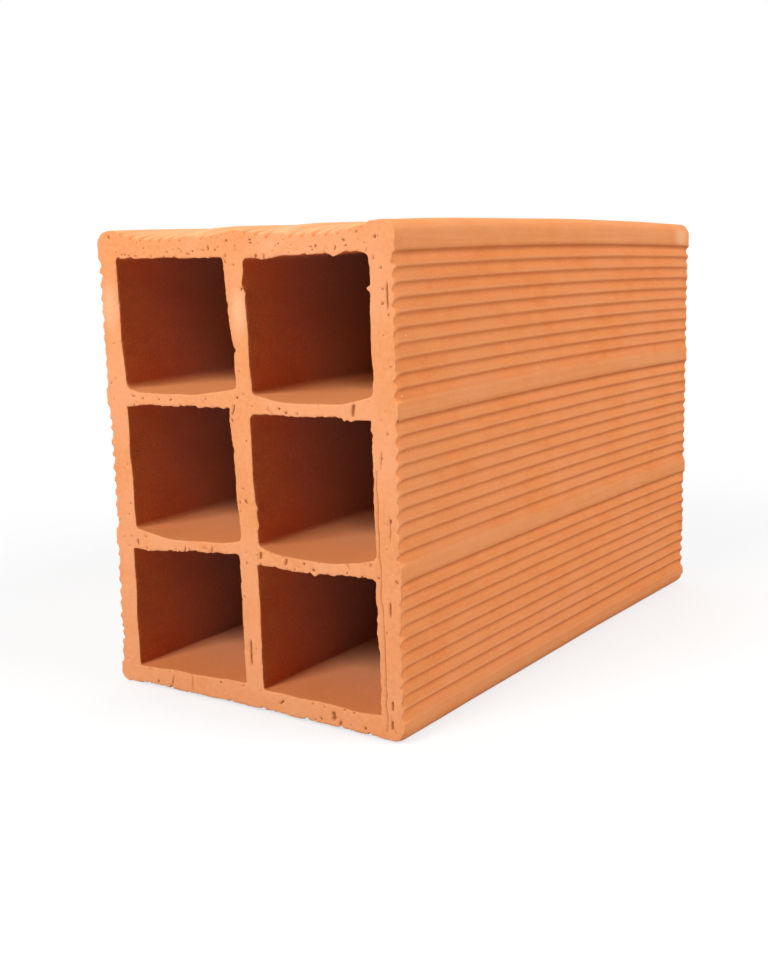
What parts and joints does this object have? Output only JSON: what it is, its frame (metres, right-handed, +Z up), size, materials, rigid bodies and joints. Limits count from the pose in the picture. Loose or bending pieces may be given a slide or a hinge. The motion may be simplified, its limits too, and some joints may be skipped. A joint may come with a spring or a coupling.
{
  "type": "perforated clay brick",
  "caption": "Fired clay brick with square cells right through its length, sagged inner webs and fluted outer faces that key mortar, for light walls.",
  "frame": {"origin": "centre of the brick's lower bed, at the level of its flat bands", "axes": "+Z up, +Y along the cells and the brick's length, +X across its width"},
  "size_m": [0.107, 0.2, 0.14],
  "materials": {
    "fired_clay": "matte fired clay, extruded and wire cut"
  },
  "bodies": {
    "root": {"brick": "fired_clay"}
  },
  "joints": []
}
